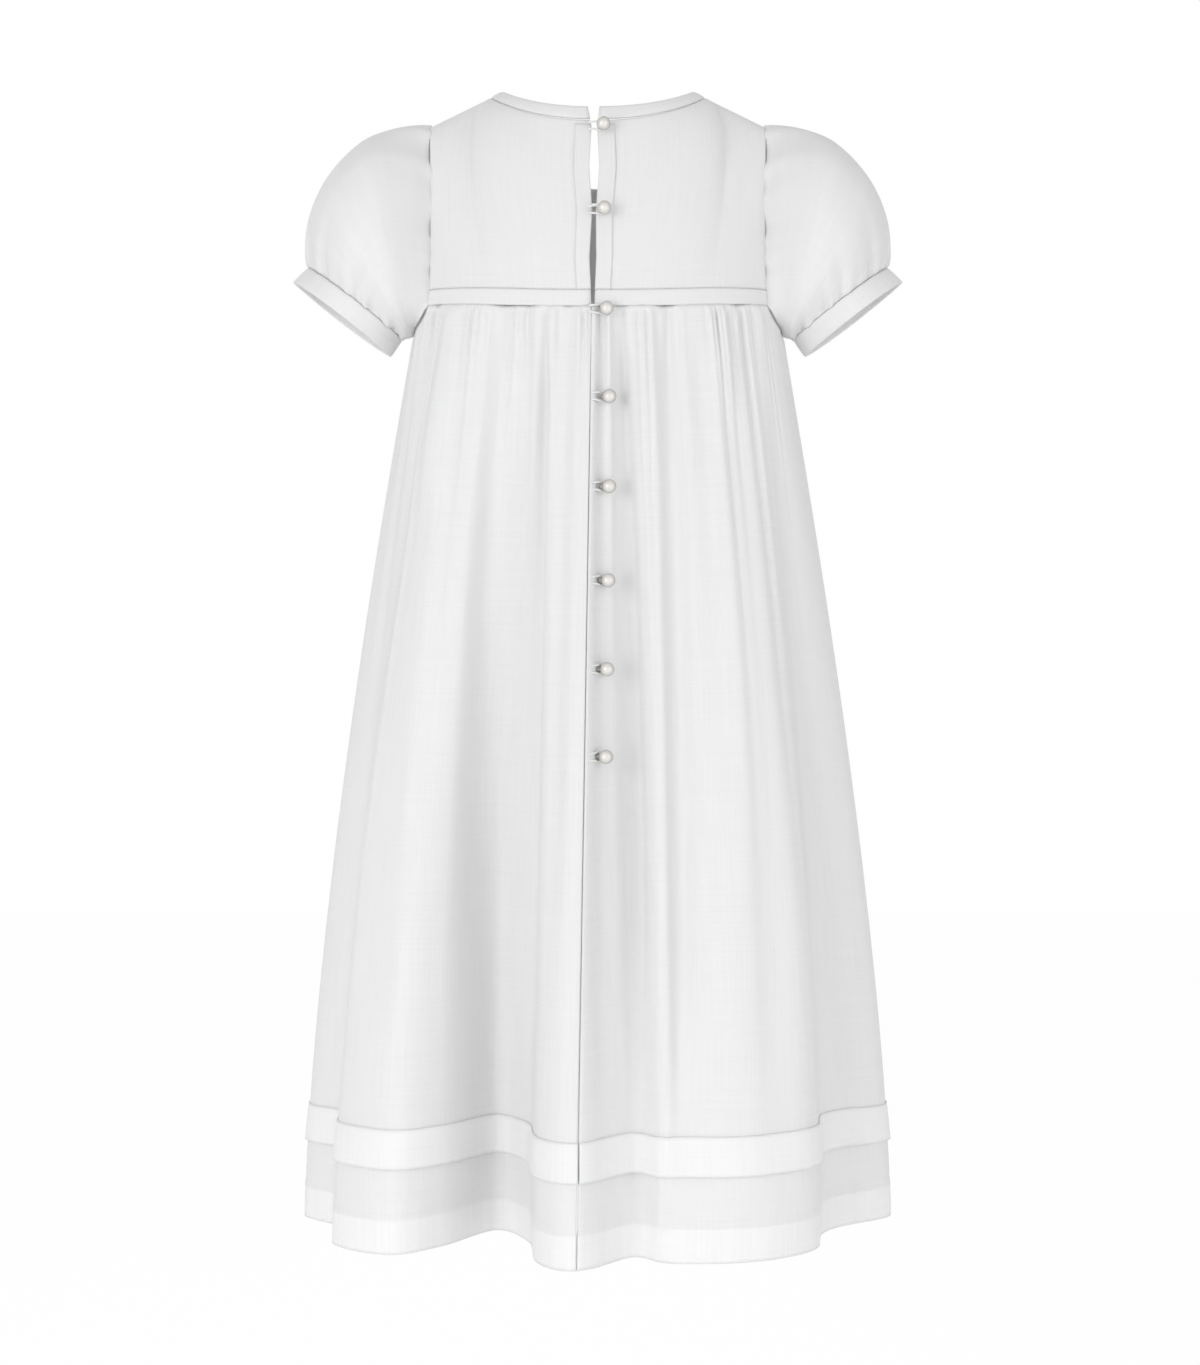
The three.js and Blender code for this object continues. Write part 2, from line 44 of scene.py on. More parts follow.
# ---- Camera: level with the middle of the gown, behind it
CAMERA_DISTANCE = 1.3
VIEW_WIDTH = 0.672  # what the frame takes in at the gown's middle
CAMERA_HEIGHT = -0.330
SENSOR = 36.0


def make_camera():
    data = bpy.data.cameras.new("camera")
    data.sensor_width = SENSOR
    data.sensor_fit = "HORIZONTAL"
    data.lens = SENSOR * CAMERA_DISTANCE / VIEW_WIDTH
    camera = bpy.data.objects.new("camera", data)
    camera.location = (-0.0012, CAMERA_DISTANCE, CAMERA_HEIGHT)
    camera.rotation_euler = (math.pi / 2, 0, math.pi)
    bpy.context.scene.collection.objects.link(camera)
    bpy.context.scene.camera = camera


# ---- Sizes, as the part has them
SEAM_Z, SEAM_DIP, HEM_Z = -122.0, 7.0, -632.0
CORNER_DEG, UNDERARM_DROP, ROUND = 67.7, 12.0, 0.909
CHEST = dict(half=99.5, back=62.0, front=68.0)
HEM = dict(half=167.4, back=105.0, front=112.0)
FLARE = dict(half=1.43, back=1.25, front=1.3)
LENGTH = SEAM_Z - HEM_Z
HEM_WIDTH, TUCK_TOP, TUCK_DEEP = 20.0, 66.0, 21.0
NECK_EDGE = dict(half=53, back=38, front=42, top=0, back_drop=17, front_drop=45)
NECK_SEAM = dict(half=59.5, back=41.5, front=47, top=-3.2, back_drop=21.3, front_drop=49)
NECK_CURVE = dict(back=1.38, front=1.2)
SHOULDER_TIP = np.array([94.0, 0.0, -20.0])
NECK_SHARE, BAND_DOWN, PLACKET_SHARE, PARTED_REACH = 0.55, 0.915, 0.056, 50.0
# The back opening: height, left edge, right edge.
OPENING = [
    (-17, 5.5, -1.0), (-29, 3.2, 0.6), (-52, 4.4, -0.6),
    (-77, 2.8, 1.2), (-103, 4.3, 1.0), (-131, 2.9, 2.3),
]
BUTTON_HEIGHTS = [-29, -77, -131, -178, -226, -276, -323, -369]
BUTTON_INSET, BEAD_RADIUS, SHANK_RADIUS, SHANK_HEIGHT, BUTTON_SEAT = 6.2, 3.8, 1.2, 2.2, 0.5
FOLD_START = 1.3
# Folds, round from the opening: degrees at the waist, x and y at the hem, out of a straight run halfway down.
FOLDS = [
    (1.4, 11, 109, 1), (9, 31, 92, 1), (15, 37, 46, -4),
    (23, 56, 19, -7), (34, 84, 56, 1), (46, 110, 75, 3),
    (58, 141, 53, 1), (CORNER_DEG, 145, 9, -4), (90, 166, -21, 0),
    (180 - CORNER_DEG, 143, -58, -3), (126, 122, -92, 3), (138, 91, -98, 1),
    (150, 62, -62, -6), (160, 41, -80, -2), (171, 24, -112, 2),
    (183, -9, -114, 1), (193, -31, -88, -6), (205, -58, -101, 0),
    (216, -88, -102, 3), (227, -116, -84, 1), (237, -118, -50, -5),
    (180 + CORNER_DEG, -146, -50, 0), (270, -166, -21, 0), (360 - CORNER_DEG, -143, 4, -1),
    (301, -123, 27, -5), (311, -116, 62, 1), (321, -94, 84, 3),
    (330, -68, 93, 1), (339, -44, 94, -5), (348, -33, 91, 1),
    (356, -18, 80, -8),
]
TURNS = len(FOLDS)
CREASE_DEPTH = 2.5  # how strongly the creases are drawn
SIDE_LEFT, SIDE_RIGHT = 8, 22
SLEEVE_TOP = np.array([[94, -20], [118, -8], [172, -50], [161.5, -98]], float)
SLEEVE_UNDER = np.array([[100.5, -135], [109.7, -137.5]])
SLEEVE_DEPTH = dict(armhole=30, puff=17, cuff=28)
CUFF_WIDTH, CUFF_FLARE, CUFF_CORNER = 12.0, 1.04, 1.45
CUFF_AXIS = np.array([0.646, 0, -0.763])


def power(x, p):
    return np.sign(x) * np.abs(x) ** p


def smooth(low, high, x):
    t = np.clip((x - low) / (high - low), 0, 1)
    return t * t * (3 - 2 * t)


def stack(x, y, z):
    return np.stack(np.broadcast_arrays(x, y, z), axis=-1).astype(float)


# ---- The body's surface
def seam_z(deg):
    return SEAM_Z - SEAM_DIP * np.cos(np.radians(deg)) ** 2


def skirt_top(deg):
    across = np.abs(np.cos(np.radians(deg))) / math.cos(math.radians(CORNER_DEG))
    scoop = seam_z(CORNER_DEG) - UNDERARM_DROP * np.sqrt(np.clip(1 - across ** 2, 0, 1))
    return np.where(across >= 1, seam_z(deg), scoop)


def on_section(deg, share, out=0.0):
    size = {k: CHEST[k] + (HEM[k] - CHEST[k]) * (1 - (1 - share) ** FLARE[k]) for k in CHEST}
    s, c = np.sin(np.radians(deg)), np.cos(np.radians(deg))
    depth = np.where(c > 0, size["back"], size["front"])
    fx, fy = power(s, 2 - ROUND) / size["half"], power(c, 2 - ROUND) / depth
    n = np.hypot(fx, fy)
    return size["half"] * power(s, ROUND) + out * fx / n, depth * power(c, ROUND) + out * fy / n


FOLD_DEG = np.array([row[0] for row in FOLDS], float)
FOLD_BASE = on_section(FOLD_DEG, np.ones(TURNS))
FOLD_VALUES = dict(shift=FOLD_DEG - 360 * np.arange(TURNS) / TURNS,
                   x=np.array([row[1] for row in FOLDS]) - FOLD_BASE[0],
                   y=np.array([row[2] for row in FOLDS]) - FOLD_BASE[1],
                   mid=np.array([row[3] for row in FOLDS], float))


def folds_at(turn, key):
    i = np.floor(turn).astype(int)
    t = turn - i
    a, b, c, d = (FOLD_VALUES[key][(i + k) % TURNS] for k in (-1, 0, 1, 2))
    return b + 0.5 * t * (c - a + t * (2 * a - 5 * b + 4 * c - d + t * (3 * (b - c) + d - a)))


def skirt_point(turn, row):
    deg = 360 * turn / TURNS + folds_at(turn, "shift")
    z = skirt_top(deg) * (1 - row) + HEM_Z * row
    share = np.clip((SEAM_Z - z) / LENGTH, 0, 1)
    x, y = on_section(deg, share, folds_at(turn, "mid") * np.sin(np.pi * share))
    grown = share ** FOLD_START
    return stack(x + folds_at(turn, "x") * grown, y + folds_at(turn, "y") * grown, z)


def neckline(ring, along, back):
    s, c = np.sin(np.pi / 2 * along), np.clip(np.cos(np.pi / 2 * along), 0, 1)
    side, sign = ("back", 1) if back else ("front", -1)
    height = ring["top"] - ring[side + "_drop"] * c ** NECK_CURVE[side]
    return stack(ring["half"] * s, sign * ring[side] * c, height)


def yoke_point(across, down, back):
    sign = 1 if back else -1
    across, down = np.broadcast_arrays(np.asarray(across, float), np.asarray(down, float))
    on_neck = (across <= NECK_SHARE)[..., None]
    along_neck = np.clip(across / NECK_SHARE, 0, 1)
    along_tip = np.clip((across - NECK_SHARE) / (1 - NECK_SHARE), 0, 1)[..., None]
    neck_point = neckline(NECK_SEAM, np.array(1.0), back)
    shoulder = neck_point + (SHOULDER_TIP - neck_point) * along_tip
    top = np.where(on_neck, neckline(NECK_SEAM, along_neck, back), shoulder)
    deg = across * CORNER_DEG if back else 180 - across * CORNER_DEG
    bottom = stack(*on_section(deg, np.zeros_like(deg)), seam_z(deg))
    centre, corner, tip = (np.array(v, float) for v in
                           ((0, 35 * sign, -95 if back else -70), (60, 60 * sign, -29), (-4, 75 * sign, -8)))
    turn = (np.sin(np.pi / 2 * along_neck) ** 2)[..., None]
    leave = np.where(on_neck, centre + (corner - centre) * turn, corner + (tip - corner) * along_tip)
    reach = stack(6 * across, (3 - 7 * across) * sign, -100 + 15 * across)
    t = down[..., None]
    return (top * (1 + t * t * (2 * t - 3)) + leave * t * (1 - t) ** 2
            + bottom * t * t * (3 - 2 * t) + reach * t * t * (t - 1))


def opening_at(z, side):
    rows = np.array(OPENING, float)[::-1]
    return np.interp(z, rows[:, 0], rows[:, 1 if side == "left" else 2])


def parted(p, side):
    sign = 1 if side == "left" else -1
    moved = p.copy()
    fading = np.clip(1 - p[..., 0] / PARTED_REACH, 0, 1)
    moved[..., 0] = sign * p[..., 0] + opening_at(p[..., 2], side) * fading
    return moved


# ---- Shells
def normals_of(grid, closed=False):
    if closed:
        across = np.roll(grid, -1, axis=1) - np.roll(grid, 1, axis=1)
    else:
        across = np.gradient(grid, axis=1)
    n = np.cross(across, np.gradient(grid, axis=0))
    n /= np.maximum(np.linalg.norm(n, axis=2, keepdims=True), 1e-9)
    axis = stack(0 * grid[..., 0], 0 * grid[..., 0], grid[..., 2])
    middle = grid.mean(axis=1, keepdims=True) if closed else axis
    return n if (n * (grid - middle)).sum() > 0 else -n


def moved_out(grid, out, closed=False):
    return grid + normals_of(grid, closed) * (np.zeros(grid.shape[:2]) + out)[..., None]


def mesh_object(name, points, faces, uvs, materials, face_slots=None):
    mesh = bpy.data.meshes.new(name)
    mesh.from_pydata([tuple(p) for p in points * MM], [], faces)
    layer = mesh.uv_layers.new(name="cloth")
    loops = np.empty(len(mesh.loops), dtype=np.int32)
    mesh.loops.foreach_get("vertex_index", loops)
    layer.data.foreach_set("uv", np.asarray(uvs, float)[loops].ravel())
    for material in materials:
        mesh.materials.append(material)
    if face_slots is not None:
        mesh.polygons.foreach_set("material_index", face_slots)
    mesh.polygons.foreach_set("use_smooth", [True] * len(mesh.polygons))
    mesh.update()
    piece = bpy.data.objects.new(name, mesh)
    bpy.context.scene.collection.objects.link(piece)
    return piece


def shell(name, grid, low, high, materials, closed=False, doubled_rows=None):
    """A closed wall from low to high out of a grid of points, rows by columns."""
    rows, cols = grid.shape[:2]
    n = normals_of(grid, closed)
    sides = [grid + n * (np.zeros((rows, cols)) + side)[..., None] for side in (low, high)]
    step_u = np.linalg.norm(np.diff(grid[rows // 2], axis=0), axis=1)
    step_v = np.linalg.norm(np.diff(grid[:, cols // 2], axis=0), axis=1)
    u, v = np.concatenate([[0], np.cumsum(step_u)]), np.concatenate([[0], np.cumsum(step_v)])
    uv = np.stack(np.broadcast_arrays(u[None, :], v[:, None]), axis=-1).reshape(-1, 2)
    spans = cols if closed else cols - 1
    i, j = np.meshgrid(np.arange(rows - 1), np.arange(spans), indexing="ij")
    a, b = i * cols + j, i * cols + (j + 1) % cols
    inner = np.stack([a, b, b + cols, a + cols], -1).reshape(-1, 4)
    total = rows * cols
    outer = inner[:, ::-1] + total
    j = np.arange(spans)
    top = np.stack([j, j + total, (j + 1) % cols + total, (j + 1) % cols], -1)
    low_edge = top[:, ::-1] + (rows - 1) * cols
    quads = [inner, outer, top, low_edge]
    slots = [0 * inner[:, 0], 0 * outer[:, 0], 0 * top[:, 0], 0 * top[:, 0]]
    if doubled_rows is not None:
        in_hem = np.repeat(doubled_rows[:-1].astype(int), spans)
        slots = [in_hem, in_hem, 0 * top[:, 0], 0 * top[:, 0] + 1]
    if not closed:
        i = np.arange(rows - 1) * cols
        first = np.stack([i, i + cols, i + cols + total, i + total], -1)
        quads += [first, first[:, ::-1] + cols - 1]
        slots += [0 * i, 0 * i]
    faces = np.concatenate(quads)
    points = np.concatenate([side.reshape(-1, 3) for side in sides])
    tris = points[faces[:, :3]]
    if np.einsum("ij,ij->i", tris[:, 0], np.cross(tris[:, 1], tris[:, 2])).sum() < 0:
        faces = faces[:, ::-1]
    uvs = np.concatenate([uv, uv])
    return mesh_object(name, points, faces.tolist(), uvs, materials, np.concatenate(slots))


# ---- Materials
def cloth_material(name, colour, sheer):
    material = bpy.data.materials.new(name)
    material.use_nodes = True
    nodes, links = material.node_tree.nodes, material.node_tree.links
    nodes.clear()
    out = nodes.new("ShaderNodeOutputMaterial")
    mix = nodes.new("ShaderNodeMixShader")
    mix.inputs[0].default_value = sheer
    cloth = nodes.new("ShaderNodeBsdfPrincipled")
    cloth.inputs["Roughness"].default_value = 0.88
    cloth.inputs["Specular IOR Level"].default_value = 0.18
    cloth.inputs["Sheen Weight"].default_value = 0.12
    cloth.inputs["Sheen Roughness"].default_value = 0.6
    through = nodes.new("ShaderNodeBsdfTranslucent")
    coords = nodes.new("ShaderNodeUVMap")
    coords.uv_map = "cloth"
    ramps, heights = [], []
    for scale, low, high in (((2.4, 0.035), 0.972, 1.0), ((0.035, 2.4), 0.98, 1.0)):
        spread = nodes.new("ShaderNodeMapping")
        spread.inputs["Scale"].default_value = (scale[0], scale[1], 1)
        slub = nodes.new("ShaderNodeTexNoise")
        slub.inputs["Scale"].default_value = 0.6
        slub.inputs["Detail"].default_value = 3
        tone = nodes.new("ShaderNodeMapRange")
        tone.inputs["From Min"].default_value = 0.35
        tone.inputs["From Max"].default_value = 0.6
        tone.inputs["To Min"].default_value = low
        tone.inputs["To Max"].default_value = high
        links.new(coords.outputs["UV"], spread.inputs["Vector"])
        links.new(spread.outputs["Vector"], slub.inputs["Vector"])
        links.new(slub.outputs["Fac"], tone.inputs["Value"])
        ramps.append(tone)
        heights.append(slub)
    both = nodes.new("ShaderNodeMath")
    both.operation = "MULTIPLY"
    links.new(ramps[0].outputs["Result"], both.inputs[0])
    links.new(ramps[1].outputs["Result"], both.inputs[1])
    tint = nodes.new("ShaderNodeVectorMath")
    tint.operation = "SCALE"
    tint.inputs[0].default_value = colour
    links.new(both.outputs[0], tint.inputs["Scale"])
    links.new(tint.outputs["Vector"], cloth.inputs["Base Color"])
    links.new(tint.outputs["Vector"], through.inputs["Color"])
    weave = nodes.new("ShaderNodeMath")
    weave.operation = "ADD"
    links.new(heights[0].outputs["Fac"], weave.inputs[0])
    links.new(heights[1].outputs["Fac"], weave.inputs[1])
    bump = nodes.new("ShaderNodeBump")
    bump.inputs["Strength"].default_value = 0.12
    bump.inputs["Distance"].default_value = 0.0002
    links.new(weave.outputs[0], bump.inputs["Height"])
    for shader in (cloth, through):
        links.new(bump.outputs["Normal"], shader.inputs["Normal"])
    links.new(cloth.outputs[0], mix.inputs[1])
    links.new(through.outputs[0], mix.inputs[2])
    links.new(mix.outputs[0], out.inputs["Surface"])
    return material


def pearl_material():
    material = bpy.data.materials.new("pearl")
    material.use_nodes = True
    nodes, links = material.node_tree.nodes, material.node_tree.links
    pearl = nodes["Principled BSDF"]
    pearl.inputs["Roughness"].default_value = 0.22
    pearl.inputs["Coat Weight"].default_value = 0.8
    pearl.inputs["Coat Roughness"].default_value = 0.06
    pearl.inputs["IOR"].default_value = 1.6
    # Painted shade: the bead's base colour runs from pale where it faces the camera to dark brown-grey
    # towards its rim, driven by the Layer Weight facing value, in place of the shading round a sphere. The
    # noise mixed in after it is the nacre's own mottled tone.
    edge = nodes.new("ShaderNodeLayerWeight")
    edge.inputs["Blend"].default_value = 0.35
    cloud = nodes.new("ShaderNodeTexNoise")
    cloud.inputs["Scale"].default_value = 350
    rim_shade_ramp = nodes.new("ShaderNodeValToRGB")
    rim_shade_ramp.color_ramp.elements[0].color = (0.74, 0.72, 0.68, 1)
    rim_shade_ramp.color_ramp.elements[1].color = (0.20, 0.185, 0.16, 1)
    rim_shade_ramp.color_ramp.elements[1].position = 0.75
    mix = nodes.new("ShaderNodeMix")
    mix.data_type = "RGBA"
    mix.inputs["B"].default_value = (0.70, 0.67, 0.66, 1)
    soft = nodes.new("ShaderNodeMath")
    soft.operation = "MULTIPLY"
    soft.inputs[1].default_value = 0.25
    links.new(edge.outputs["Facing"], rim_shade_ramp.inputs["Fac"])
    links.new(cloud.outputs["Fac"], soft.inputs[0])
    links.new(soft.outputs[0], mix.inputs["Factor"])
    links.new(rim_shade_ramp.outputs["Color"], mix.inputs["A"])
    links.new(mix.outputs["Result"], pearl.inputs["Base Color"])
    return material


LAWN = cloth_material("lawn", (0.885, 0.885, 0.887), 0.2)
DOUBLED = cloth_material("doubled_lawn", (0.905, 0.905, 0.907), 0.12)
FACED = cloth_material("faced_lawn", (0.835, 0.835, 0.837), 0.12)
PEARL = pearl_material()


def place(piece, nodes):
    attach(piece, "root")
    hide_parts(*nodes)
    return piece


# ---- Yoke, waistband, plackets and binding
THIN = 0.35  # half of a layer's thickness
LIFT = 0.35  # from a layer's middle to the next layer's


def yoke_grid(back, side, rows, columns):
    across = np.linspace(columns[0], columns[1], columns[2])[None, :]
    grid = yoke_point(across, rows[:, None], back)
    if back:
        return parted(grid, side)
    return np.concatenate([grid[:, ::-1], (grid * np.array([-1, 1, 1]))[:, 1:]], axis=1)


def make_yoke():
    rows = np.linspace(0.008, BAND_DOWN - 0.002, 60)
    band = np.linspace(BAND_DOWN, 1.0, 8)
    place(shell("yoke_front_cloth", yoke_grid(False, None, rows, (0, 0.997, 60)), -THIN, THIN, [LAWN]),
          ["yoke_front"])
    waist = yoke_grid(False, None, band, (0, 0.997, 60))
    place(shell("waistband_front_cloth", waist, -THIN, THIN + LIFT, [FACED]), ["waistband_front"])
    for side in ("left", "right"):
        panel = yoke_grid(True, side, rows, (0.002, 0.997, 64))
        place(shell(f"yoke_back_{side}_cloth", panel, -THIN, THIN, [LAWN]), [f"yoke_back_{side}"])
        waist = yoke_grid(True, side, band, (0.002, 0.997, 64))
        place(shell(f"waistband_back_{side}_cloth", waist, -THIN, THIN + LIFT, [FACED]),
              [f"waistband_back_{side}"])
        strip = yoke_grid(True, side, np.linspace(0.035, BAND_DOWN - 0.002, 60), (0.001, PLACKET_SHARE, 9))
        place(shell(f"placket_{side}_cloth", strip, THIN + 0.05, THIN + 0.6, [FACED]),
              [f"placket_{side}"])


def binding_row(ring):
    along = np.linspace(0, 1, 40)
    front = neckline(ring, along[::-1], False)
    back = {side: parted(neckline(ring, along, True), side) for side in ("left", "right")}
    right = np.concatenate([back["right"], front[1:] * np.array([-1, 1, 1])])
    return np.concatenate([back["left"], front[1:], right[::-1][1:]])


def make_binding():
    top, bottom = binding_row(NECK_EDGE), binding_row(NECK_SEAM)
    shares = np.linspace(0, 0.97, 9)
    grid = np.stack([top + (bottom - top) * share for share in shares])
    fullness = 0.75 * np.sqrt(np.clip(1 - (2 * shares - 0.97) ** 2, 0, 1))[:, None]
    binding = shell("neck_binding_cloth", grid, -0.3 - fullness, 0.3 + fullness, [FACED])
    place(binding, ["neck_binding"])


# ---- Skirt: fine gathers under the waist, and soft creases
# Creases: turn round the skirt, share of the way down where it starts and ends, depth, width in turns.
CREASES = [
    (0.75, 0.00, 0.70, 1.3, 0.22), (1.9, 0.05, 0.85, 2.2, 0.25), (2.6, 0.0, 0.4, 1.6, 0.2),
    (3.4, 0.0, 0.75, 2.4, 0.3), (4.6, 0.1, 0.6, 1.4, 0.35), (5.5, 0.2, 0.95, 1.8, 0.4),
    (6.3, 0.0, 0.5, 1.2, 0.3), (30.55, 0.0, 0.9, 1.5, 0.16), (29.75, 0.02, 0.8, 2.6, 0.2),
    (29.0, 0.15, 0.7, 1.2, 0.3), (28.2, 0.0, 0.85, 2.2, 0.26), (27.1, 0.05, 0.6, 1.3, 0.3),
    (26.0, 0.1, 0.95, 1.6, 0.35), (25.1, 0.0, 0.6, 1.3, 0.3), (9.7, 0.05, 0.7, 1.5, 0.3),
    (11.2, 0.0, 0.6, 1.6, 0.3), (12.4, 0.05, 0.9, 2.3, 0.3), (13.6, 0.0, 0.5, 1.4, 0.25),
    (15.1, 0.1, 0.8, 1.5, 0.35), (16.3, 0.0, 0.85, 2.4, 0.3), (17.7, 0.05, 0.5, 1.3, 0.3),
    (19.0, 0.1, 0.8, 1.7, 0.4), (20.4, 0.0, 0.7, 1.8, 0.3), (21.2, 0.1, 0.5, 1.2, 0.3),
]


# Gathers: how many to a turn, depth, and the share of the way down in which they fade.
FINE = dict(pitch=3.1, depth=0.95, run=0.075)
BROAD = dict(pitch=1.35, depth=1.25, run=0.28)


def gathers(turn, row):
    """Pleats under the waist seam: uneven, and fewer and softer further down."""
    warp = turn + 0.23 * np.sin(1.7 * turn + 0.4) + 0.11 * np.sin(4.3 * turn)
    fine = np.sin(TAU * FINE["pitch"] * warp) * (0.65 + 0.35 * np.sin(2.9 * turn + 1))
    broad = np.sin(TAU * BROAD["pitch"] * warp + 0.8) * (0.6 + 0.4 * np.sin(1.3 * turn))
    fine_out = FINE["depth"] * fine * np.exp(-row / FINE["run"])
    broad_out = BROAD["depth"] * broad * np.exp(-row / BROAD["run"])
    return smooth(0, 0.012, row) * (fine_out + broad_out)


def skirt_surface(turn, row):
    grid = skirt_point(turn, row)
    out = gathers(turn, row)
    for centre, first, last, depth, width in CREASES:
        away = (turn - centre + TURNS / 2) % TURNS - TURNS / 2
        along = smooth(first, first + 0.12, row + 0.06) * (1 - smooth(last - 0.25, last + 0.1, row))
        out = out - CREASE_DEPTH * depth * along * np.exp(-0.5 * (away / width) ** 2)
    return moved_out(grid, out)


# Skirt panels: name, first and last turn, columns, flat width in metres.
SKIRT_PANELS = [
    ("back_left", 0, SIDE_LEFT, 230, 0.29),
    ("front", SIDE_LEFT, SIDE_RIGHT, 400, 0.52),
    ("back_right", SIDE_RIGHT, TURNS, 230, 0.28),
]
PANEL_EDGE = 0.012  # how far a panel stops short of its seams, in turns
HEM_LAYER, HEM_LIFT = 0.7, 0.3  # the turned-up layer inside, and how far the hem stands out
TUCK_THICK, TUCK_FLARE, TUCK_FLAP_ROWS = 0.8, 0.9, 12


def make_skirt():
    rows = np.concatenate([np.linspace(0.0, 0.12, 34), np.linspace(0.128, 1 - TUCK_TOP / LENGTH, 60),
                           np.linspace(1 - TUCK_TOP / LENGTH + 0.005, 1, 26)])
    doubled = rows >= 1 - HEM_WIDTH / LENGTH
    inward = np.where(doubled, -THIN - HEM_LAYER, -THIN)[:, None]
    step = smooth(1 - (HEM_WIDTH + 1.5) / LENGTH, 1 - HEM_WIDTH / LENGTH, rows)
    outward = (THIN + HEM_LIFT * step)[:, None]
    flap = np.linspace(1 - TUCK_TOP / LENGTH, 1 - (TUCK_TOP - TUCK_DEEP) / LENGTH, TUCK_FLAP_ROWS)
    flare = (TUCK_FLARE * np.linspace(0, 1, TUCK_FLAP_ROWS))[:, None]
    for name, first, last, count, width in SKIRT_PANELS:
        turns = np.linspace(first + PANEL_EDGE, last - PANEL_EDGE, count)
        piece = shell(f"skirt_{name}_cloth", skirt_surface(turns[None, :], rows[:, None]), inward, outward,
                      [LAWN, DOUBLED], doubled_rows=doubled)
        place(piece, [f"skirt_{name}"])
        tuck = shell(f"tuck_{name}_cloth", skirt_surface(turns[None, :], flap[:, None]), THIN + 0.05 + flare,
                     THIN + TUCK_THICK + flare, [DOUBLED])
        place(tuck, [f"tuck_{name}"])


# ---- Sleeves and cuffs
def armhole(count):
    down = np.linspace(0, 1, 40)
    scoop = np.linspace(SIDE_LEFT - 1, SIDE_LEFT + 1, 30)
    under = skirt_point(scoop, np.zeros(30)) + np.array([1.2, 0, 1.4])
    back, front = (yoke_point(np.ones(40), down, is_back) for is_back in (True, False))
    ring = np.concatenate([back, under[1:-1], front[::-1]])
    length = np.concatenate([[0], np.cumsum(np.linalg.norm(np.diff(ring, axis=0), axis=1))])
    at = np.linspace(0, length[-1], count + 1)[:-1]
    return np.stack([np.interp(at, length, ring[:, k]) for k in range(3)], -1)


# A sleeve's gathers: how many round it, where they start, how far they run, depth.
HEAD_GATHERS = [(17, 0.6, 0.16, 1.5), (8, 0.0, 0.4, 1.2)]
CUFF_GATHERS = [(23, 1.2, 0.09, 1.0), (11, 0.0, 0.25, 1.3)]


def pleats(angle, away, row):
    number, start, run, depth = row
    return np.sin(number * angle + start) * np.exp(-away / run) * depth


def sleeve_grid(count=220, rows=70):
    share = np.linspace(0, 1, rows)[:, None]
    t = share
    top = ((1 - t) ** 3 * SLEEVE_TOP[0] + 3 * t * (1 - t) ** 2 * SLEEVE_TOP[1]
           + 3 * t * t * (1 - t) * SLEEVE_TOP[2] + t ** 3 * SLEEVE_TOP[3])
    under = SLEEVE_UNDER[0] + (SLEEVE_UNDER[1] - SLEEVE_UNDER[0]) * t
    depth = SLEEVE_DEPTH["armhole"] * (1 - t) + SLEEVE_DEPTH["cuff"] * t
    depth = depth + SLEEVE_DEPTH["puff"] * np.sin(np.pi * t)
    corner = 1 + (CUFF_CORNER - 1) * smooth(0.6, 1, t)
    angle = (TAU * np.arange(count) / count)[None, :]
    middle, half = (top + under) / 2, (top - under) / 2
    section = stack(middle[:, :1] + half[:, :1] * np.cos(angle), depth * power(np.sin(angle), corner),
                    middle[:, 1:] + half[:, 1:] * np.cos(angle))
    settled = smooth(0, 0.4, share)[..., None]
    grid = armhole(count)[None] * (1 - settled) + section * settled
    crown = 0.5 + 0.5 * np.cos(angle)  # strongest over the shoulder, none under the arm
    warp = angle + 0.12 * np.sin(3 * angle + 0.5) + 0.05 * np.sin(7 * angle)
    head = sum(pleats(warp, share, row) for row in HEAD_GATHERS) * crown
    cuff = sum(pleats(warp, 1 - share, row) for row in CUFF_GATHERS)
    ends = smooth(0, 0.02, share) * smooth(0, 0.02, 1 - share)
    return moved_out(grid, (head + cuff) * ends, closed=True)


def make_sleeves():
    grid = sleeve_grid()
    seam = grid[-1]
    middle = seam.mean(axis=0)
    width = np.linspace(0.04, 1, 12)[:, None, None]
    cuff = (seam - middle)[None] * (1 + (CUFF_FLARE - 1) * width) + middle + CUFF_AXIS * CUFF_WIDTH * width
    grid[0] += (grid[1] - grid[0]) * 0.6
    roll = (0.35 * np.sqrt(np.clip(1 - np.linspace(-1, 1, 12) ** 2, 0, 1)))[:, None]
    for side, flip in (("left", 1), ("right", -1)):
        mirror = np.array([flip, 1, 1])
        sleeve = shell(f"sleeve_{side}_cloth", grid * mirror, -THIN, THIN, [LAWN], closed=True)
        place(sleeve, [f"sleeve_{side}"])
        place(shell(f"cuff_{side}_cloth", cuff * mirror, -0.45 - roll, 0.45 + roll, [FACED], closed=True),
              [f"cuff_{side}"])


# ---- Buttons and loops
def back_face(x, z):
    if z > seam_z(0):
        downs = np.linspace(0, 1, 400)
        column = yoke_point(np.zeros(400), downs, True)
        y = np.interp(-z, -column[:, 2], column[:, 1])
        return np.array([x, y + (1.0 if z > seam_z(0) + 8 else 0.9), z])
    row = (seam_z(0) - z) / (seam_z(0) - HEM_Z)
    turns = np.linspace(TURNS - 2, TURNS + 2, 400)
    line = skirt_surface(np.stack([turns, turns]), np.array([[row], [row + 0.003]]))[0]
    return np.array([x, np.interp(x, line[:, 0], line[:, 1]) + THIN, z])


def opening_edge(z):
    if z > seam_z(0):
        return float(opening_at(z, "left"))
    row = (seam_z(0) - z) / (seam_z(0) - HEM_Z)
    return float(skirt_point(np.array([0.0]), np.array([row]))[0, 0])


def ring_faces(rings, sides):
    faces = []
    for i in range(rings - 1):
        low, high = i * sides, (i + 1) * sides
        faces += [(low + j, low + (j + 1) % sides, high + (j + 1) % sides, high + j) for j in range(sides)]
    return faces


